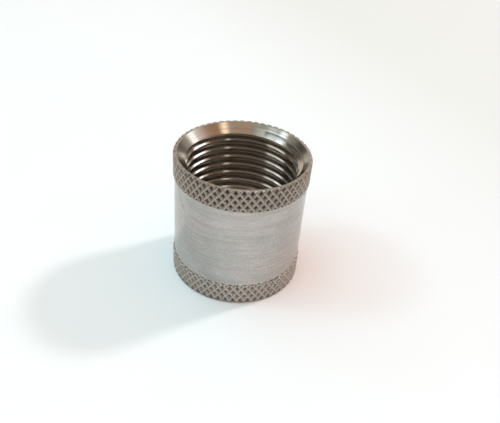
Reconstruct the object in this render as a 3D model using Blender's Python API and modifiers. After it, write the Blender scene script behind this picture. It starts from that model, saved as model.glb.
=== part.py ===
"""Knurled pipe coupling with an M24 x 2 thread from end to end.

Four pieces share one axis, +Z, and are pressed together: a threaded liner, a plain barrel
sleeve around its middle, and a knurled ring around each end. The coupling stands on z = 0.
Lengths are in metres.
"""

import math

import bmesh
import bpy

MM = 0.001

# Envelope
OUTER_RADIUS = 13.6 * MM
HEIGHT = 27.5 * MM
BARREL_RADIUS = 13.3 * MM
BAND_HEIGHT = 4.65 * MM
LINER_RADIUS = 12.85 * MM
FIT_GAP = 0.05 * MM  # between neighbouring pieces, radially and along the axis
FIT_RADIUS = LINER_RADIUS + FIT_GAP  # bore of the sleeve and the rings

# Internal thread, right-handed, 60 degree metric form
THREAD_PITCH = 2.0 * MM
THREAD_MAJOR_RADIUS = 12.0 * MM
THREAD_DEPTH = 0.5413 * THREAD_PITCH
THREAD_MINOR_RADIUS = THREAD_MAJOR_RADIUS - THREAD_DEPTH
ROOT_FLAT = THREAD_PITCH / 8
FLANK_SLOPE = math.tan(math.radians(30))
THREAD_START_DEPTH = 0.68 * MM  # of the groove below the top face, at the start angle
THREAD_START_ANGLE = math.radians(83)
THREAD_STEPS = 48  # facets in one turn
TAP_OVERRUN = 1.0 * MM  # how far the tap passes each end face
BORE_ALLOWANCE = 0.5 * MM  # metal that the blank leaves inside the minor radius for the tap

# Countersink at both ends, 45 degrees
COUNTERSINK_RADIUS = 12.8 * MM

# Diamond knurl: ridges cross where row + column is even, with a pit at each other point
KNURL_COUNT = 56
KNURL_ROW = 1.0 * MM
KNURL_FIRST_ROW = 0.73 * MM  # from the outer end face to the first row
KNURL_DEPTH = 0.4 * MM
KNURL_ROWS_BEYOND = 2  # rows of the knurled blank past each end of the ring
LOWER_RING_TURN = math.radians(3.86)

SEGMENTS = 2 * KNURL_COUNT
LINER_SEGMENTS = 56
MERGE_DISTANCE = 0.001 * MM


def make_collection(name):
    collection = bpy.data.collections.new(name)
    bpy.context.scene.collection.children.link(collection)
    return collection


def make_material(name, color, roughness):
    material = bpy.data.materials.new(name)
    material.use_nodes = True
    shader = material.node_tree.nodes["Principled BSDF"]
    shader.inputs["Base Color"].default_value = (*color, 1)
    shader.inputs["Metallic"].default_value = 1
    shader.inputs["Roughness"].default_value = roughness
    return material


def make_object(name, mesh, collection, material=None):
    piece = bpy.data.objects.new(name, mesh)
    collection.objects.link(piece)
    if material:
        mesh.materials.append(material)
    return piece


def profile_mesh(name, points, closed=True):
    """An outline in the XZ plane from (radius, height) points."""
    mesh = bpy.data.meshes.new(name)
    edges = [(i, i + 1) for i in range(len(points) - 1)]
    if closed:
        edges.append((len(points) - 1, 0))
    mesh.from_pydata([(radius, 0, height) for radius, height in points], edges, [])
    return mesh


def add_screw(piece, segments):
    """Turns the outline once around Z."""
    screw = piece.modifiers.new("turn", "SCREW")
    screw.steps = segments
    screw.render_steps = segments
    screw.use_merge_vertices = True
    screw.merge_threshold = MERGE_DISTANCE
    return screw


def add_boolean(piece, cutter, operation):
    boolean = piece.modifiers.new("cut", "BOOLEAN")
    boolean.operation = operation
    boolean.solver = "EXACT"
    boolean.object = cutter
    return boolean


def hide_cutter(cutter):
    cutter.hide_render = True
    cutter.display_type = "WIRE"


def evaluated_bmesh(piece):
    depsgraph = bpy.context.evaluated_depsgraph_get()
    form = bmesh.new()
    form.from_mesh(piece.evaluated_get(depsgraph).to_mesh())
    return form


def cut_across(form, height, below):
    """Cuts away everything past a level plane."""
    everything = list(form.verts) + list(form.edges) + list(form.faces)
    bmesh.ops.bisect_plane(
        form,
        geom=everything,
        plane_co=(0, 0, height),
        plane_no=(0, 0, 1),
        clear_inner=below,
        clear_outer=not below,
    )


def close_ends(form):
    """Fills the open ends of a swept tube and points its faces outwards."""
    rims = [edge for edge in form.edges if edge.is_boundary]
    bmesh.ops.holes_fill(form, edges=rims)
    bmesh.ops.recalc_face_normals(form, faces=form.faces)


def thread_tap(collection):
    """A screw with the thread's form, longer than the coupling, that cuts the thread in one pass."""
    groove = HEIGHT - THREAD_START_DEPTH - THREAD_PITCH * THREAD_START_ANGLE / math.tau
    turns = math.ceil((groove + 2 * TAP_OVERRUN) / THREAD_PITCH)
    first = groove - turns * THREAD_PITCH
    root_half = ROOT_FLAT / 2
    mouth_half = root_half + THREAD_DEPTH * FLANK_SLOPE
    outline = [
        (THREAD_MINOR_RADIUS, first - mouth_half + THREAD_PITCH),
        (THREAD_MINOR_RADIUS, first + mouth_half),
        (THREAD_MAJOR_RADIUS, first + root_half),
        (THREAD_MAJOR_RADIUS, first - root_half),
        (THREAD_MINOR_RADIUS, first - mouth_half),
    ]
    tap = make_object("thread_tap", profile_mesh("thread_tap", outline, closed=False), collection)
    screw = add_screw(tap, THREAD_STEPS)
    screw.screw_offset = THREAD_PITCH
    screw.iterations = turns + 2
    form = evaluated_bmesh(tap)
    bmesh.ops.remove_doubles(form, verts=form.verts, dist=MERGE_DISTANCE)
    cut_across(form, -TAP_OVERRUN, below=True)
    cut_across(form, HEIGHT + TAP_OVERRUN, below=False)
    close_ends(form)
    tap.modifiers.clear()
    form.to_mesh(tap.data)
    form.free()
    hide_cutter(tap)
    return tap


def threaded_liner(parts, cutters, material):
    bore_radius = THREAD_MINOR_RADIUS - BORE_ALLOWANCE
    bore_start = COUNTERSINK_RADIUS - bore_radius  # the countersink is at 45 degrees
    outline = [
        (LINER_RADIUS, HEIGHT),
        (LINER_RADIUS, 0),
        (COUNTERSINK_RADIUS, 0),
        (bore_radius, bore_start),
        (bore_radius, HEIGHT - bore_start),
        (COUNTERSINK_RADIUS, HEIGHT),
    ]
    liner = make_object("threaded_liner", profile_mesh("threaded_liner", outline), parts, material)
    add_screw(liner, LINER_SEGMENTS)
    add_boolean(liner, thread_tap(cutters), "DIFFERENCE")
    return liner


def barrel_sleeve(parts, material):
    low = BAND_HEIGHT + FIT_GAP
    high = HEIGHT - low
    outline = [(BARREL_RADIUS, high), (BARREL_RADIUS, low), (FIT_RADIUS, low), (FIT_RADIUS, high)]
    sleeve = make_object("barrel_sleeve", profile_mesh("barrel_sleeve", outline), parts, material)
    add_screw(sleeve, SEGMENTS)
    return sleeve


def sink_pits(form):
    """Moves every other lattice point in to the pit depth and runs the edges along the ridges."""
    crossings = set()
    for vertex in form.verts:
        column = round(math.atan2(vertex.co.y, vertex.co.x) / math.tau * SEGMENTS)
        row = round(vertex.co.z / KNURL_ROW)
        if (row + column) % 2:
            scale = (OUTER_RADIUS - KNURL_DEPTH) / OUTER_RADIUS
            vertex.co.x *= scale
            vertex.co.y *= scale
        else:
            crossings.add(vertex)
    for face in list(form.faces):
        ridge_ends = [vertex for vertex in face.verts if vertex in crossings]
        bmesh.utils.face_split(face, *ridge_ends)


def knurled_form(name, collection):
    """A closed knurled cylinder, longer than a ring, with lattice row 0 at z = 0."""
    last_row = math.ceil(BAND_HEIGHT / KNURL_ROW) + KNURL_ROWS_BEYOND
    rows = range(last_row, -KNURL_ROWS_BEYOND - 1, -1)
    outline = [(OUTER_RADIUS, row * KNURL_ROW) for row in rows]
    blank = make_object(name, profile_mesh(name, outline, closed=False), collection)
    add_screw(blank, SEGMENTS)
    form = evaluated_bmesh(blank)
    sink_pits(form)
    close_ends(form)
    blank.modifiers.clear()
    form.to_mesh(blank.data)
    form.free()
    hide_cutter(blank)
    return blank


def knurled_ring(name, parts, cutters, material):
    """A ring whose outer end face is at its local z = 0, cut to the knurled cylinder."""
    blank_radius = OUTER_RADIUS + KNURL_DEPTH
    outline = [(blank_radius, BAND_HEIGHT), (blank_radius, 0), (FIT_RADIUS, 0), (FIT_RADIUS, BAND_HEIGHT)]
    ring = make_object(name, profile_mesh(name, outline), parts, material)
    add_screw(ring, SEGMENTS)
    knurl = knurled_form(name + "_knurl", cutters)
    knurl.location.z = KNURL_FIRST_ROW
    knurl.parent = ring
    add_boolean(ring, knurl, "INTERSECT")
    return ring


def main():
    for item in list(bpy.data.objects):
        bpy.data.objects.remove(item)
    parts = make_collection("pipe_coupling")
    cutters = make_collection("cutters")
    thread_steel = make_material("thread_steel", (0.20, 0.17, 0.15), 0.25)
    satin_steel = make_material("satin_steel", (0.55, 0.54, 0.52), 0.35)
    knurl_steel = make_material("knurl_steel", (0.36, 0.33, 0.29), 0.40)
    threaded_liner(parts, cutters, thread_steel)
    barrel_sleeve(parts, satin_steel)
    upper = knurled_ring("upper_knurled_ring", parts, cutters, knurl_steel)
    upper.location.z = HEIGHT
    upper.rotation_euler.x = math.pi
    lower = knurled_ring("lower_knurled_ring", parts, cutters, knurl_steel)
    lower.rotation_euler.z = LOWER_RING_TURN
    for piece in parts.objects:
        piece.data.shade_smooth()
        piece.data.set_sharp_from_angle(angle=math.radians(30))


main()
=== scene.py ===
"""Looks of the knurled pipe coupling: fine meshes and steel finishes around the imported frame.

Lengths are in metres, except inside the steel finishes, which work in millimetres. Angles around
the coupling run from +X towards +Y.
"""

import math

import bmesh
import bpy
import numpy as np
from mathutils import Matrix, Vector, noise


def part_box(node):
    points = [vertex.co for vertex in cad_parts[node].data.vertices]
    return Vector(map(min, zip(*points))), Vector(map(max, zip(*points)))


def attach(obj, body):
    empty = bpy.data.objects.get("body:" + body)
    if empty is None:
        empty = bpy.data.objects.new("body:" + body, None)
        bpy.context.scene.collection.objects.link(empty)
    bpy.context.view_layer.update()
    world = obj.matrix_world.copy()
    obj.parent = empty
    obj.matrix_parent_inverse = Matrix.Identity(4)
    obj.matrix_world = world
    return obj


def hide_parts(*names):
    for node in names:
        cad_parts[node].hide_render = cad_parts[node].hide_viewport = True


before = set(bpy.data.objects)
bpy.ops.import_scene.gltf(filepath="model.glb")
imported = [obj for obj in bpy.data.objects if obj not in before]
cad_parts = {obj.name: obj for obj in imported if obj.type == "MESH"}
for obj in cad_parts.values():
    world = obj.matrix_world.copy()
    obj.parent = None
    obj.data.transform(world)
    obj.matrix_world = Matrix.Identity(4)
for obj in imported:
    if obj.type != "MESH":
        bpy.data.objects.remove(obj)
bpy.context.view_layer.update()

MM = 0.001

# Sizes read from the frame
ring_low, ring_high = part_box("upper_knurled_ring")
OUTER_RADIUS = ring_high.x
HEIGHT = ring_high.z
BAND_HEIGHT = ring_high.z - ring_low.z
BARREL_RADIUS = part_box("barrel_sleeve")[1].x
LINER_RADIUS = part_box("threaded_liner")[1].x

# Fits and edges
FIT_GAP = 0.05 * MM  # between the frame's liner and the bore of its rings
RING_BORE_RADIUS = LINER_RADIUS + FIT_GAP
SEAM = 0.005 * MM  # visible gap between pressed pieces
BARREL_EDGE_ROUND = 0.05 * MM
LINER_RIM_ROUND = 0.03 * MM
RING_BORE_ROUND = 0.03 * MM
TURNED_STEPS = 288
ARC_STEPS = 4
HOLD_SHARE = 0.04  # of a rounding, to the point that holds the face beside it flat
MERGE_DISTANCE = 0.0001 * MM

# Internal thread, right-handed
THREAD_PITCH = 2.0 * MM
THREAD_MAJOR_RADIUS = 12.0 * MM
THREAD_DEPTH = 0.5413 * THREAD_PITCH
THREAD_MINOR_RADIUS = THREAD_MAJOR_RADIUS - THREAD_DEPTH
ROOT_FLAT = THREAD_PITCH / 8
FLANK_SLOPE = math.tan(math.radians(30))
THREAD_START_DEPTH = 0.68 * MM  # of the groove below the top face, at the start angle
THREAD_START_ANGLE = math.radians(83)
THREAD_STEPS = 144
CREST_BEVEL = 0.34 * MM  # radial depth of the shallower face that leads from a crest to its flank
CREST_BEVEL_SLOPE = math.tan(math.radians(39))
CREST_ROUND = 0.04 * MM
ROOT_ROUND = 0.20 * MM
TAP_OVERRUN = 1.0 * MM  # how far the tap passes each end face
BORE_ALLOWANCE = 0.5 * MM  # metal that the blank leaves inside the minor radius for the tap
COUNTERSINK_RADIUS = 12.8 * MM

# Diamond knurl, on a lattice of ridges that cross where row + column is even
KNURL_COUNT = 56
KNURL_ROW = 1.0 * MM
KNURL_FIRST_ROW = 0.73 * MM  # from the outer end face to the first row
KNURL_DEPTH = 0.4 * MM
KNURL_CELLS = 12  # mesh cells between neighbouring lattice rows and columns
LOWER_RING_TURN = math.radians(3.86)
RIDGE_ROUND = 0.12  # of a knurl ridge, as a share of the way to the middle of a pit
SHOULDER_CHAMFER = 0.13 * MM
UPPER_FACE_CHAMFER = 0.08 * MM
LOWER_FACE_CHAMFER = 0.30 * MM
FACE_HOLD = 0.01 * MM  # from an edge to the points that hold the faces beside it flat
FACE_BITE = 1.1  # how much deeper the knurl is at an end, where facing the ring broke its teeth
FACE_BITE_REACH = 0.3 * MM
THIN_WALL = 0.10 * MM  # least metal left between the knurl and the ring's bore
WEAR_DEPTH = 0.018 * MM
WEAR_AROUND = 6  # noise cells per radian
WEAR_ALONG = 2  # millimetres per noise cell
WEAR_SHIFT = 9  # noise cells per radian of a ring's turn, so that the rings wear differently


def add_piece(name, mesh, materials, replaced):
    piece = bpy.data.objects.new(name, mesh)
    bpy.context.collection.objects.link(piece)
    for material in materials:
        mesh.materials.append(material)
    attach(piece, "root")
    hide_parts(replaced)
    return piece


def shade_round(mesh, sharp_angle):
    mesh.shade_smooth()
    mesh.set_sharp_from_angle(angle=math.radians(sharp_angle))


# ---------------------------------------------------------------- turned shapes


def rounded_outline(corners):
    """Points along an outline of (radius, height, rounding) corners, with arcs where rounded.

    A point just outside each end of an arc keeps the straight faces flat under smooth shading.
    """
    points = []
    for i, (radius, height, rounding) in enumerate(corners):
        corner = Vector((radius, height))
        if not rounding:
            points.append(corner)
            continue
        before = Vector(corners[i - 1][:2]) - corner
        after = Vector(corners[(i + 1) % len(corners)][:2]) - corner
        half = before.angle(after) / 2
        before.normalize()
        after.normalize()
        reach = rounding / math.tan(half)
        middle = corner + (before + after).normalized() * (rounding / math.sin(half))
        start = (corner + before * reach - middle).normalized()
        end = (corner + after * reach - middle).normalized()
        held = reach + HOLD_SHARE * rounding
        points.append(corner + before * held)
        for step in range(ARC_STEPS + 1):
            points.append(middle + start.slerp(end, step / ARC_STEPS) * rounding)
        points.append(corner + after * held)
    return points


def turned_object(name, points, steps, closed=True):
    """An outline of (radius, height) points with a modifier that turns it once around Z."""
    mesh = bpy.data.meshes.new(name)
    edges = [(i, i + 1) for i in range(len(points) - 1)]
    if closed:
        edges.append((len(points) - 1, 0))
    mesh.from_pydata([(radius, 0, height) for radius, height in points], edges, [])
    turned = bpy.data.objects.new(name, mesh)
    bpy.context.collection.objects.link(turned)
    screw = turned.modifiers.new("turn", "SCREW")
    screw.steps = steps
    screw.render_steps = steps
    screw.use_merge_vertices = True
    screw.merge_threshold = MERGE_DISTANCE
    return turned


def taken_mesh(name, source):
    """The source object's evaluated mesh, after which the object is removed."""
    depsgraph = bpy.context.evaluated_depsgraph_get()
    mesh = bpy.data.meshes.new_from_object(source.evaluated_get(depsgraph))
    mesh.name = name
    bpy.data.objects.remove(source)
    return mesh


def barrel_sleeve(material):
    low = BAND_HEIGHT + SEAM
    high = HEIGHT - low
    corners = [
        (BARREL_RADIUS, high, BARREL_EDGE_ROUND),
        (BARREL_RADIUS, low, BARREL_EDGE_ROUND),
        (RING_BORE_RADIUS, low, 0),
        (RING_BORE_RADIUS, high, 0),
    ]
    turned = turned_object("turning", rounded_outline(corners), TURNED_STEPS)
    mesh = taken_mesh("fine_barrel_sleeve", turned)
    shade_round(mesh, sharp_angle=40)
    return add_piece("fine_barrel_sleeve", mesh, [material], "barrel_sleeve")


# ---------------------------------------------------------------- threaded liner


def thread_form(groove):
    """One pitch of the thread's outline, top to bottom, around the groove's middle."""
    root_half = ROOT_FLAT / 2
    bevel_half = root_half + (THREAD_DEPTH - CREST_BEVEL) * FLANK_SLOPE
    bevel_radius = THREAD_MINOR_RADIUS + CREST_BEVEL
    mouth_half = bevel_half + CREST_BEVEL * CREST_BEVEL_SLOPE
    half_pitch = THREAD_PITCH / 2
    corners = [
        (THREAD_MINOR_RADIUS, groove + half_pitch, 0),
        (THREAD_MINOR_RADIUS, groove + mouth_half, CREST_ROUND),
        (bevel_radius, groove + bevel_half, CREST_ROUND),
        (THREAD_MAJOR_RADIUS, groove + root_half, ROOT_ROUND),
        (THREAD_MAJOR_RADIUS, groove - root_half, ROOT_ROUND),
        (bevel_radius, groove - bevel_half, CREST_ROUND),
        (THREAD_MINOR_RADIUS, groove - mouth_half, CREST_ROUND),
        (THREAD_MINOR_RADIUS, groove - half_pitch, 0),
    ]
    return rounded_outline(corners)


def thread_tap():
    """A closed screw with the thread's form, longer than the coupling."""
    groove = HEIGHT - THREAD_START_DEPTH - THREAD_PITCH * THREAD_START_ANGLE / math.tau
    turns = math.ceil((groove + 2 * TAP_OVERRUN) / THREAD_PITCH)
    outline = thread_form(groove - turns * THREAD_PITCH)
    tap = turned_object("tap", outline, THREAD_STEPS, closed=False)
    tap.modifiers["turn"].screw_offset = THREAD_PITCH
    tap.modifiers["turn"].iterations = turns + 2
    mesh = taken_mesh("tap", tap)
    form = bmesh.new()
    form.from_mesh(mesh)
    bmesh.ops.remove_doubles(form, verts=form.verts, dist=MERGE_DISTANCE)
    for height, below in ((-TAP_OVERRUN, True), (HEIGHT + TAP_OVERRUN, False)):
        bmesh.ops.bisect_plane(
            form,
            geom=list(form.verts) + list(form.edges) + list(form.faces),
            plane_co=(0, 0, height),
            plane_no=(0, 0, 1),
            clear_inner=below,
            clear_outer=not below,
        )
    bmesh.ops.holes_fill(form, edges=[edge for edge in form.edges if edge.is_boundary])
    bmesh.ops.recalc_face_normals(form, faces=form.faces)
    form.to_mesh(mesh)
    form.free()
    tap = bpy.data.objects.new("tap", mesh)
    bpy.context.collection.objects.link(tap)
    return tap


def threaded_liner(cone_material, thread_material):
    """A countersunk tube, cut by the tap, whose cut faces take the thread's material."""
    outer = RING_BORE_RADIUS - SEAM
    rim = outer - (LINER_RADIUS - COUNTERSINK_RADIUS)
    bore = THREAD_MINOR_RADIUS - BORE_ALLOWANCE
    cone = rim - bore  # the countersink is at 45 degrees
    corners = [
        (outer, HEIGHT, 0),
        (outer, 0, 0),
        (rim, 0, LINER_RIM_ROUND),
        (bore, cone, 0),
        (bore, HEIGHT - cone, 0),
        (rim, HEIGHT, LINER_RIM_ROUND),
    ]
    liner = turned_object("liner", rounded_outline(corners), TURNED_STEPS)
    tap = thread_tap()
    liner.data.materials.append(cone_material)
    tap.data.materials.append(thread_material)
    cut = liner.modifiers.new("thread", "BOOLEAN")
    cut.operation = "DIFFERENCE"
    cut.solver = "EXACT"
    cut.material_mode = "TRANSFER"
    cut.object = tap
    mesh = taken_mesh("fine_threaded_liner", liner)
    bpy.data.objects.remove(tap)
    shade_round(mesh, sharp_angle=35)
    return add_piece("fine_threaded_liner", mesh, [], "threaded_liner")


# ---------------------------------------------------------------- knurled rings


def ridge_distance(column, row):
    """0 on a ridge to 1 in the middle of a pit, and which family of ridges is nearer.

    It is true for the ridges along which column + row stays the same.
    """
    one = (column + row) / 2
    other = (column - row) / 2
    to_one = 2 * np.abs(one - np.round(one))
    to_other = 2 * np.abs(other - np.round(other))
    return np.minimum(to_one, to_other), to_one < to_other


def knurl_depth(column, row):
    """Straight-walled pyramid pits between rounded ridges."""
    distance, _ = ridge_distance(column, row)
    rise = np.hypot(distance, RIDGE_ROUND) - RIDGE_ROUND
    return KNURL_DEPTH * rise / (math.hypot(1, RIDGE_ROUND) - RIDGE_ROUND)


def chamfer_rows(chamfer):
    """Distances from an end of the ring where its chamfer has mesh rows."""
    return np.array([0, FACE_HOLD, chamfer - FACE_HOLD, chamfer])


def outside_rows(face_chamfer):
    """Distances from the outer end face where the ring's outside has mesh rows."""
    start = face_chamfer + FACE_HOLD
    end = BAND_HEIGHT - SHOULDER_CHAMFER - FACE_HOLD
    first = math.ceil((start - KNURL_FIRST_ROW) / KNURL_ROW * KNURL_CELLS)
    last = math.floor((end - KNURL_FIRST_ROW) / KNURL_ROW * KNURL_CELLS)
    middle = KNURL_FIRST_ROW + np.arange(first, last + 1) * KNURL_ROW / KNURL_CELLS
    shoulder = BAND_HEIGHT - chamfer_rows(SHOULDER_CHAMFER)[::-1]
    return np.concatenate([chamfer_rows(face_chamfer), middle, shoulder])


def knurled_ring(name, replaced, face_height, inward, turn, face_chamfer, material):
    """A ring from its outer end face at face_height; inward is the sign of Z into the coupling."""
    columns = 2 * KNURL_COUNT * KNURL_CELLS
    column = np.arange(columns) / KNURL_CELLS
    angle = turn + column * math.pi / KNURL_COUNT
    depths = outside_rows(face_chamfer)
    rows = (depths - KNURL_FIRST_ROW) / KNURL_ROW
    face_cut = np.maximum(face_chamfer - depths, 0)
    shoulder_cut = np.maximum(SHOULDER_CHAMFER - (BAND_HEIGHT - depths), 0)
    chamfer_cut = np.maximum(face_cut, shoulder_cut)
    bite = 1 + FACE_BITE * np.exp(-depths / FACE_BITE_REACH)
    knurl = bite[:, None] * knurl_depth(column[None, :], rows[:, None])
    radius = OUTER_RADIUS - chamfer_cut[:, None] - knurl
    radius = np.maximum(radius, RING_BORE_RADIUS + THIN_WALL)
    height = np.repeat(depths[:, None], columns, axis=1)
    bore_edge = RING_BORE_RADIUS + RING_BORE_ROUND
    inside = [
        (radius[-1] - FACE_HOLD, BAND_HEIGHT),
        (RING_BORE_RADIUS, BAND_HEIGHT),
        (RING_BORE_RADIUS, RING_BORE_ROUND),
        (bore_edge, 0),
        (bore_edge + FACE_HOLD, 0),
        (radius[0] - FACE_HOLD, 0),
    ]
    for inner_radius, inner_depth in inside:
        radius = np.vstack([radius, np.broadcast_to(inner_radius, columns)])
        height = np.vstack([height, np.full(columns, inner_depth)])
    outside = radius > RING_BORE_RADIUS + 2 * RING_BORE_ROUND
    radius = radius - wear(angle, height, turn) * outside
    x = radius * np.cos(angle)
    y = radius * np.sin(angle)
    z = face_height + inward * height
    vertices = np.stack([x, y, z], axis=-1).reshape(-1, 3)
    faces = ring_faces(column, rows, len(height), inward)
    mesh = bpy.data.meshes.new(name)
    mesh.from_pydata(vertices.tolist(), [], faces.tolist())
    shade_round(mesh, sharp_angle=50)
    return add_piece(name, mesh, [material], replaced)


def wear(angle, height, turn):
    """How far the knurl lies below its ideal form, as worn and unevenly rolled metal does."""
    amount = np.zeros_like(height)
    for i in range(height.shape[0]):
        for j in range(height.shape[1]):
            x = WEAR_AROUND * math.cos(angle[j])
            y = WEAR_AROUND * math.sin(angle[j])
            z = height[i, j] / MM / WEAR_ALONG + WEAR_SHIFT * turn
            amount[i, j] = WEAR_DEPTH * (1 + noise.noise(Vector((x, y, z)))) / 2
    return amount


def ring_faces(column, rows, levels, inward):
    """Quads around the ring's closed section, each begun so that its diagonal follows a ridge."""
    columns = len(column)
    level = np.arange(levels)[:, None]
    across = np.arange(columns)[None, :]
    next_level = (level + 1) % levels
    next_across = (across + 1) % columns
    corner_a = level * columns + across
    corner_b = level * columns + next_across
    corner_c = next_level * columns + next_across
    corner_d = next_level * columns + across
    middle_row = np.zeros((levels, 1))
    middle_row[: len(rows) - 1, 0] = (rows[1:] + rows[:-1]) / 2
    middle_column = column[None, :] + 0.5 / KNURL_CELLS
    _, falling = ridge_distance(middle_column, middle_row)
    one_way = np.stack([corner_a, corner_d, corner_c, corner_b], axis=-1)
    other_way = np.stack([corner_d, corner_c, corner_b, corner_a], axis=-1)
    faces = np.where(falling[..., None], other_way, one_way).reshape(-1, 4)
    return faces if inward < 0 else faces[:, ::-1]


# ---------------------------------------------------------------- node trees


def rgb(red, green, blue):
    return (red, green, blue, 1.0)


class Tree:
    """Adds nodes to a node tree, linking each input that is given a socket."""

    def __init__(self, owner):
        owner.use_nodes = True
        self.tree = owner.node_tree
        self.tree.nodes.clear()

    def put(self, node, key, value):
        if isinstance(value, bpy.types.NodeSocket):
            self.tree.links.new(value, node.inputs[key])
        else:
            node.inputs[key].default_value = value

    def add(self, kind, inputs, **settings):
        node = self.tree.nodes.new(kind)
        for name, value in settings.items():
            setattr(node, name, value)
        for key, value in inputs.items():
            self.put(node, key, value)
        return node

    def math(self, operation, *values):
        inputs = dict(enumerate(values))
        return self.add("ShaderNodeMath", inputs, operation=operation).outputs[0]

    def span(self, value, low, high, to_low=0.0, to_high=1.0):
        """A smooth step from to_low at low to to_high at high; low may be above high."""
        inputs = {
            "Value": value,
            "From Min": low,
            "From Max": high,
            "To Min": to_low,
            "To Max": to_high,
        }
        return self.add("ShaderNodeMapRange", inputs, interpolation_type="SMOOTHSTEP").outputs[0]

    def mix(self, factor, one, other):
        """A mix of two colours; the numbers are the sockets of the node's colour mode."""
        inputs = {0: factor, 6: one, 7: other}
        return self.add("ShaderNodeMix", inputs, data_type="RGBA").outputs[2]

    def noise(self, vector, scale, detail=3.0, roughness=0.5):
        inputs = {"Vector": vector, "Scale": scale, "Detail": detail, "Roughness": roughness}
        return self.add("ShaderNodeTexNoise", inputs).outputs["Fac"]

    def combine(self, x, y, z):
        return self.add("ShaderNodeCombineXYZ", {"X": x, "Y": y, "Z": z}).outputs[0]


# ---------------------------------------------------------------- steel finishes


class Steel(Tree):
    """A steel finish with coordinates in millimetres around the coupling's axis."""

    def __init__(self, name):
        self.material = bpy.data.materials.new(name)
        super().__init__(self.material)
        metres = self.add("ShaderNodeTexCoord", {}).outputs["Object"]
        scaling = {0: metres, "Scale": 1 / MM}
        self.place = self.add("ShaderNodeVectorMath", scaling, operation="SCALE").outputs[0]
        self.x, self.y, self.z = self.add("ShaderNodeSeparateXYZ", {0: self.place}).outputs
        x_square = self.math("MULTIPLY", self.x, self.x)
        y_square = self.math("MULTIPLY", self.y, self.y)
        self.radius = self.math("SQRT", self.math("ADD", x_square, y_square))

    def turning_lines(self, around, across, detail=4.0):
        """Noise drawn out along the circumference, as a lathe tool leaves it."""
        along = self.math("MULTIPLY", self.math("ADD", self.radius, self.z), across)
        x = self.math("MULTIPLY", self.x, around)
        y = self.math("MULTIPLY", self.y, around)
        return self.noise(self.combine(x, y, along), 1.0, detail, 0.6)

    def toward(self, azimuth, gone, full):
        """1 within full degrees of an azimuth, falling to 0 at gone degrees from it."""
        way = direction(azimuth, 0)
        x = self.math("MULTIPLY", self.x, way.x)
        y = self.math("MULTIPLY", self.y, way.y)
        facing = self.math("DIVIDE", self.math("ADD", x, y), self.radius)
        return self.span(facing, math.cos(math.radians(gone)), math.cos(math.radians(full)))

    def scratch(self, start, end, half_width):
        """1 along a wavering line on the barrel that fades towards its end.

        Each point is (degrees around, height in millimetres).
        """
        waver_width = 0.35
        core = 0.3 * half_width
        fade_in = 0.4
        barrel = BARREL_RADIUS / MM
        angle = self.math("ADD", self.math("ARCTAN2", self.y, self.x), math.tau)
        around = self.math("MULTIPLY", self.math("MODULO", angle, math.tau), barrel)
        origin = Vector((math.radians(start[0]) * barrel, start[1]))
        along = Vector((math.radians(end[0]) * barrel, end[1])) - origin
        length = along.length
        along.normalize()
        across = self.math("SUBTRACT", around, origin.x)
        up = self.math("SUBTRACT", self.z, origin.y)
        reach_across = self.math("MULTIPLY", across, along.x)
        reach_up = self.math("MULTIPLY", up, along.y)
        reach = self.math("ADD", reach_across, reach_up)
        off_across = self.math("MULTIPLY", across, along.y)
        off_up = self.math("MULTIPLY", up, along.x)
        off = self.math("SUBTRACT", off_across, off_up)
        waver = self.math("SUBTRACT", self.noise(self.place, 1.5, 3.0), 0.5)
        off = self.math("ADD", off, self.math("MULTIPLY", waver, waver_width))
        line = self.span(self.math("ABSOLUTE", off), half_width, core)
        line = self.math("MULTIPLY", line, self.span(reach, -fade_in, fade_in))
        return self.math("MULTIPLY", line, self.span(reach, length, 0.4 * length))

    def finish(self, color, roughness, bumps, anisotropic=0.0):
        """Principled steel; bumps is a list of (height socket, depth in metres).

        The quarter turn of the anisotropy draws highlights out across the turning lines.
        """
        normal = None
        for height, depth in bumps:
            inputs = {"Height": height, "Distance": depth, "Strength": 1.0}
            if normal:
                inputs["Normal"] = normal
            normal = self.add("ShaderNodeBump", inputs).outputs[0]
        tangent = self.add("ShaderNodeTangent", {}, direction_type="RADIAL", axis="Z").outputs[0]
        inputs = {
            "Base Color": color,
            "Metallic": 1.0,
            "Roughness": roughness,
            "Anisotropic": anisotropic,
            "Anisotropic Rotation": 0.25,
            "Tangent": tangent,
            "Normal": normal,
        }
        shader = self.add("ShaderNodeBsdfPrincipled", inputs).outputs[0]
        self.add("ShaderNodeOutputMaterial", {"Surface": shader})
        return self.material


def satin_steel():
    """Brushed around the barrel, with cloudy patches, fine speckle and one long scratch."""
    steel = Steel("satin_steel")
    lines = steel.turning_lines(0.12, 2.2, 5.0)
    speckle = steel.noise(steel.place, 2.2, 5.0, 0.75)
    cloud = steel.noise(steel.place, 0.20, 4.0, 0.6)
    light, warm, dark = rgb(0.45, 0.435, 0.41), rgb(0.525, 0.485, 0.465), rgb(0.37, 0.355, 0.34)
    color = steel.mix(steel.span(cloud, 0.38, 0.62), light, warm)
    color = steel.mix(steel.span(lines, 0.42, 0.62, 0.0, 0.6), color, dark)
    color = steel.mix(steel.span(speckle, 0.46, 0.64, 0.0, 0.5), color, dark)
    scratch = steel.scratch((205.7, 22.5), (225.0, 16.4), 0.15)
    color = steel.mix(scratch, color, rgb(0.17, 0.165, 0.16))
    roughness = steel.span(speckle, 0.3, 0.7, 0.24, 0.32)
    sunk = steel.math("MULTIPLY", scratch, -1.0)
    bumps = [(lines, 0.004 * MM), (speckle, 0.006 * MM), (sunk, 0.02 * MM)]
    return steel.finish(color, roughness, bumps, 0.4)


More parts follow.
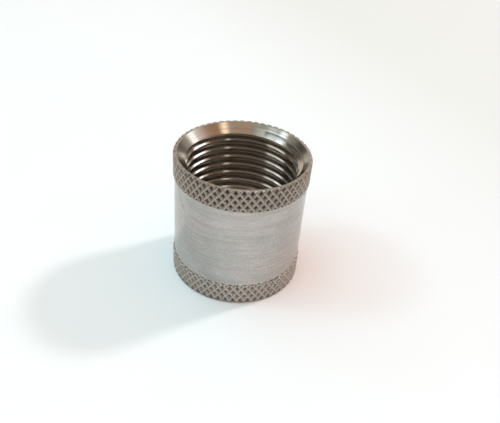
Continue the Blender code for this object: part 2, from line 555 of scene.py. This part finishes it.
def knurl_steel(name, ridge, wall, pit_shade):
    """Burnished ridges over duller pits; the last argument sets how dark the painted shade in the
    pits is, 0 to 1.
    """
    steel = Steel(name)
    mottle = steel.noise(steel.place, 1.2, 4.0)
    grain = steel.noise(steel.place, 7.0, 3.0, 0.7)

    # 0 at the bottom of a pit and 1 on a ridge
    floor_radius = (OUTER_RADIUS - KNURL_DEPTH) / MM
    height = steel.math("SUBTRACT", steel.radius, floor_radius)
    height = steel.math("DIVIDE", height, KNURL_DEPTH / MM)

    # The end faces, and everything but them
    normal = steel.add("ShaderNodeNewGeometry", {}).outputs["True Normal"]
    upward = steel.add("ShaderNodeSeparateXYZ", {0: normal}).outputs["Z"]
    on_end = steel.span(steel.math("ABSOLUTE", upward), 0.75, 0.95)
    off_end = steel.math("SUBTRACT", 1.0, on_end)

    bright = steel.math("MAXIMUM", steel.span(height, 0.72, 0.90), on_end)
    color = steel.mix(bright, wall, ridge)
    dull = steel.mix(0.5, wall, rgb(0.12, 0.10, 0.08))
    color = steel.mix(steel.span(mottle, 0.4, 0.75, 0.0, 0.4), color, dull)

    # Painted shade on the walls that face down and deep in the pits
    under = steel.math("MULTIPLY", steel.span(upward, -0.06, -0.24), off_end)
    under = steel.math("MULTIPLY", under, steel.span(height, 0.92, 0.78))
    deep = steel.math("MULTIPLY", steel.span(height, 0.55, 0.15), off_end)
    painted_shade = steel.math("MULTIPLY", steel.math("MAXIMUM", under, deep), pit_shade)
    color = steel.mix(painted_shade, color, rgb(0.06, 0.046, 0.033))
    color = steel.mix(steel.span(grain, 0.45, 0.70, 0.0, 0.4), color, dull)

    # Paler end faces, and painted contact shade darkening the foot
    color = steel.mix(steel.math("MULTIPLY", on_end, 0.6), color, rgb(0.49, 0.46, 0.43))
    color = steel.mix(steel.span(steel.z, 0.75, 0.15, 0.0, 0.6), color, rgb(0.11, 0.075, 0.055))

    # Painted glints: brighter metal in places on the chamfers, except the one on the floor
    chamfer_glint = steel.span(steel.math("ABSOLUTE", upward), 0.48, 0.62)
    chamfer_glint = steel.math("MULTIPLY", chamfer_glint, off_end)
    chamfer_glint = steel.math("MULTIPLY", chamfer_glint, steel.span(steel.z, 0.6, 1.2))
    chamfer_glint = steel.math("MULTIPLY", chamfer_glint, steel.span(mottle, 0.38, 0.55))
    color = steel.mix(chamfer_glint, color, rgb(0.88, 0.86, 0.83))

    roughness = steel.span(bright, 0.0, 1.0, 0.45, 0.30)
    return steel.finish(color, roughness, [(grain, 0.010 * MM)])


def cone_steel():
    """Finely turned countersinks, with a painted highlight low down where the thread starts."""
    steel = Steel("cone_steel")
    lines = steel.turning_lines(0.05, 8.0)
    grain = steel.noise(steel.place, 6.0, 3.0, 0.7)
    color = steel.mix(steel.span(lines, 0.3, 0.75), rgb(0.62, 0.60, 0.56), rgb(0.48, 0.455, 0.42))
    color = steel.mix(steel.span(grain, 0.5, 0.8, 0.0, 0.5), color, rgb(0.30, 0.28, 0.25))
    # Painted highlight: paler metal low on the countersink, around 58 degrees
    painted_highlight = steel.span(steel.radius, 12.3, 12.05)
    painted_highlight = steel.math("MULTIPLY", painted_highlight, steel.toward(58, 24, 10))
    color = steel.mix(painted_highlight, color, rgb(0.86, 0.86, 0.84))
    roughness = steel.span(lines, 0.3, 0.7, 0.13, 0.22)
    return steel.finish(color, roughness, [(lines, 0.003 * MM), (grain, 0.003 * MM)], 0.5)


def thread_steel():
    """Polished near the crests and rougher towards the roots, with painted shade that darkens and
    warms the colour towards the roots and darkens the crest flats.
    """
    steel = Steel("thread_steel")
    lines = steel.turning_lines(0.08, 9.0)
    crest = THREAD_MINOR_RADIUS / MM
    depth = steel.span(steel.radius, crest, THREAD_MAJOR_RADIUS / MM)
    # Painted shade: darker and warmer towards the roots
    color = steel.mix(depth, rgb(0.74, 0.70, 0.65), rgb(0.64, 0.575, 0.51))
    # Painted shade on the crest flats
    crest_flat_shade = steel.span(steel.radius, crest + 0.03, crest + 0.005)
    color = steel.mix(crest_flat_shade, color, rgb(0.46, 0.43, 0.40))
    color = steel.mix(steel.span(lines, 0.4, 0.8, 0.0, 0.3), color, rgb(0.55, 0.50, 0.44))
    roughness = steel.span(lines, 0.3, 0.7, 0.08, 0.15)
    roughness = steel.math("ADD", roughness, steel.math("MULTIPLY", depth, 0.12))
    return steel.finish(color, roughness, [(lines, 0.002 * MM)], 0.3)


# ---------------------------------------------------------------- studio

# The room as polished metal sees it. Each patch is (azimuth, elevation, full within, gone beyond,
# colour), in degrees, and covers the patches before it.
WALLS = [
    # Tones of the countersink and of the barrel's edges
    (90, 30, 14, 38, (0.80, 0.72, 0.60)),
    (144, 22, 6, 18, (0.11, 0.10, 0.08)),
    (56, 6, 5, 18, (0.20, 0.165, 0.135)),
    (18, 34, 10, 26, (0.82, 0.66, 0.59)),
    (345, 47, 4, 20, (0.58, 0.32, 0.19)),
    (280, 55, 8, 26, (0.71, 0.51, 0.37)),
    (226, 50, 8, 20, (0.62, 0.62, 0.55)),
    (0, 90, 22, 27, (0.11, 0.09, 0.07)),
    # Dark places that the faces beside the thread's crests look at
    (165, 68, 8, 16, (0.052, 0.052, 0.052)),
    (136, 44, 7, 12, (0.06, 0.055, 0.06)),
    (126, 33, 5, 10, (0.09, 0.085, 0.08)),
    (28, 60, 6, 14, (0.16, 0.11, 0.085)),
    (6, 54, 4, 7.5, (0.10, 0.065, 0.045)),
    (356, 58, 4.5, 8, (0.10, 0.065, 0.045)),
    (345, 62, 4.5, 8, (0.10, 0.07, 0.05)),
    (300, 71, 5, 9, (0.11, 0.09, 0.07)),
    (217, 67, 5, 9, (0.09, 0.085, 0.08)),
    (155, 45, 5.5, 8.5, (0.07, 0.065, 0.06)),
    (58, 31, 6, 10, (0.14, 0.10, 0.09)),
    (154, 38, 3, 7, (0.12, 0.115, 0.10)),
    (47, 31, 5, 8, (0.08, 0.055, 0.05)),
    # Light along the barrel's right edge
    (325, 0, 12, 32, (1.25, 1.14, 1.07)),
]
WINDOWS = [
    # Left window, seen by the right-hand side of the countersink and of the thread
    (205, 32, 10, 20, (1.0, 1.12, 1.1)),
    (192, 57, 4, 8, (0.65, 0.72, 0.75)),
    (174, 53, 4, 8, (0.66, 0.74, 0.77)),
    (168, 48, 3, 6, (0.70, 0.81, 0.84)),
    (181, 45, 3.5, 7, (1.9, 2.1, 2.1)),
    (203, 52, 3, 8, (0.85, 0.92, 0.90)),
    (348, 31, 5, 10, (1.8, 1.7, 1.6)),  # glints on the bands' right-hand edges
    (148, 57, 4, 6, (0.85, 0.94, 0.98)),
    # Right window, seen by the left-hand side
    (28, 31, 4.5, 7.5, (2.3, 2.2, 2.15)),
    (27, 38, 4, 6.5, (2.3, 2.2, 2.15)),
    (22, 43, 3, 5, (2.3, 2.2, 2.15)),
    (36, 38, 4, 8, (2.3, 2.2, 2.15)),
    # Warm lamp, and its glint down the thread
    (322, 55, 2, 6.5, (2.8, 2.2, 1.55)),
    (331, 65, 1.5, 3.5, (0.75, 0.66, 0.50)),
]
CEILING_GLOW = [(180, 45, 15, 60, (0.92, 1.45, 1.66))]

# Lamps that shade the surfaces without showing in them: (name, azimuth, elevation, distance in
# metres, size in metres, power, colour)
LAMPS = [
    ("back_right_light", 30, 42, 1.5, 0.175, 8.1, (1.0, 0.965, 0.985)),
    ("front_light", 270, 55, 1.5, 0.3, 5.5, (1.0, 0.91, 0.85)),
    ("left_light", 181, 48, 0.4, 0.07, 0.2, (0.5, 0.95, 1.0)),
]

FLOOR_SIZE = 4.0

CAMERA_PLACE = (0, -97.1 * MM, 84.3 * MM)
CAMERA_PAN = math.radians(-1.38)
CAMERA_TILT = math.radians(90 - 36.09)  # up from straight down
CAMERA_ROLL = math.radians(5.27)
CAMERA_LENS = 41.44  # in the camera's own millimetres, on a sensor 36 wide
CAMERA_SENSOR = 36


def direction(azimuth, elevation):
    """Unit vector from the coupling, in degrees around +Z from +X and above the floor."""
    azimuth = math.radians(azimuth)
    elevation = math.radians(elevation)
    flat = math.cos(elevation)
    return Vector((flat * math.cos(azimuth), flat * math.sin(azimuth), math.sin(elevation)))


def studio_floor():
    """Matt white paper, with painted shade that darkens and warms it slightly towards the back
    right.
    """
    bpy.ops.mesh.primitive_plane_add(size=FLOOR_SIZE)
    floor = bpy.context.object
    floor.name = "floor"
    material = bpy.data.materials.new("paper")
    tree = Tree(material)
    place = tree.add("ShaderNodeTexCoord", {}).outputs["Object"]
    mottle = tree.noise(place, 60.0, 5.0)
    color = tree.mix(mottle, rgb(0.82, 0.82, 0.815), rgb(0.84, 0.84, 0.835))
    # Painted shade towards the back right
    right, back, _ = tree.add("ShaderNodeSeparateXYZ", {0: place}).outputs
    across = tree.math("ADD", right, tree.math("MULTIPLY", back, 0.5))
    color = tree.mix(tree.span(across, 0.03, 0.14), color, rgb(0.755, 0.745, 0.71))
    inputs = {"Base Color": color, "Roughness": 0.9, "Specular IOR Level": 0.1}
    shader = tree.add("ShaderNodeBsdfPrincipled", inputs).outputs[0]
    tree.add("ShaderNodeOutputMaterial", {"Surface": shader})
    floor.data.materials.append(material)


def soft_light(name, azimuth, elevation, distance, size, power, color):
    light = bpy.data.lights.new(name, "AREA")
    light.shape = "DISK"
    light.size = size
    light.energy = power
    light.color = color
    lamp = bpy.data.objects.new(name, light)
    bpy.context.collection.objects.link(lamp)
    toward = direction(azimuth, elevation)
    lamp.location = toward * distance
    lamp.rotation_euler = toward.to_track_quat("Z", "Y").to_euler()
    lamp.visible_glossy = False


def with_patches(tree, room, toward, patches):
    """The room with soft round patches of colour laid over it."""
    for azimuth, elevation, full, gone, color in patches:
        inputs = {0: toward, 1: direction(azimuth, elevation)}
        facing = tree.add("ShaderNodeVectorMath", inputs, operation="DOT_PRODUCT").outputs["Value"]
        inside = tree.span(facing, math.cos(math.radians(gone)), math.cos(math.radians(full)))
        room = tree.mix(inside, room, rgb(*color))
    return room


def room_light():
    """Metal reflects a room, matt surfaces are lit by a ceiling, and the backdrop is plain."""
    world = bpy.data.worlds.new("studio")
    bpy.context.scene.world = world
    tree = Tree(world)
    toward = tree.add("ShaderNodeTexCoord", {}).outputs["Generated"]
    _, back, height = tree.add("ShaderNodeSeparateXYZ", {0: toward}).outputs

    # What metal reflects: walls, then a dark figure in front of the object, then windows
    horizon, upper = rgb(0.72, 0.67, 0.60), rgb(0.40, 0.385, 0.32)
    room = tree.mix(tree.span(height, 0.0, 0.3), horizon, upper)
    room = with_patches(tree, room, toward, WALLS)
    figure = tree.math("MULTIPLY", tree.span(back, -0.1, -0.4), tree.span(height, 0.18, 0.26))
    figure = tree.math("MULTIPLY", figure, tree.span(height, 0.69, 0.60))
    room = tree.mix(figure, room, rgb(0.17, 0.155, 0.125))
    room = with_patches(tree, room, toward, WINDOWS)

    # What lights matt surfaces
    low, high = rgb(0.12, 0.075, 0.057), rgb(1.07, 0.66, 0.49)
    ceiling = tree.mix(tree.span(height, 0.35, 1.0), low, high)
    ceiling = with_patches(tree, ceiling, toward, CEILING_GLOW)

    path = tree.add("ShaderNodeLightPath", {}).outputs
    color = tree.mix(tree.math("MINIMUM", path["Diffuse Depth"], 1.0), room, ceiling)
    color = tree.mix(path["Is Camera Ray"], color, rgb(0.93, 0.94, 0.93))
    background = tree.add("ShaderNodeBackground", {"Color": color, "Strength": 1.0})
    tree.add("ShaderNodeOutputWorld", {"Surface": background.outputs[0]})


def camera():
    """A view from the front and 36 degrees above, close enough for strong perspective."""
    lens = bpy.data.cameras.new("camera")
    lens.sensor_width = CAMERA_SENSOR
    lens.lens = CAMERA_LENS
    lens.clip_start = 1 * MM
    view = bpy.data.objects.new("camera", lens)
    bpy.context.collection.objects.link(view)
    turn = Matrix.Rotation(CAMERA_PAN, 4, "Z")
    tilt = Matrix.Rotation(CAMERA_TILT, 4, "X")
    roll = Matrix.Rotation(CAMERA_ROLL, 4, "Z")
    view.matrix_world = Matrix.Translation(CAMERA_PLACE) @ turn @ tilt @ roll
    bpy.context.scene.camera = view


# ---------------------------------------------------------------- scene

camera()
studio_floor()
room_light()
for lamp_settings in LAMPS:
    soft_light(*lamp_settings)
bpy.context.scene.view_settings.view_transform = "Standard"

barrel_sleeve(satin_steel())
threaded_liner(cone_steel(), thread_steel())
upper_steel = knurl_steel(
    "upper_knurl_steel",
    ridge=rgb(0.40, 0.355, 0.31),
    wall=rgb(0.37, 0.32, 0.275),
    pit_shade=0.9,
)
# The lower ring's paler colours are painted light, from the bright floor beside it
lower_steel = knurl_steel(
    "lower_knurl_steel",
    ridge=rgb(0.52, 0.475, 0.43),
    wall=rgb(0.38, 0.335, 0.295),
    pit_shade=0.35,
)
knurled_ring(
    "fine_upper_ring",
    "upper_knurled_ring",
    face_height=HEIGHT,
    inward=-1,
    turn=0.0,
    face_chamfer=UPPER_FACE_CHAMFER,
    material=upper_steel,
)
knurled_ring(
    "fine_lower_ring",
    "lower_knurled_ring",
    face_height=0.0,
    inward=1,
    turn=LOWER_RING_TURN,
    face_chamfer=LOWER_FACE_CHAMFER,
    material=lower_steel,
)
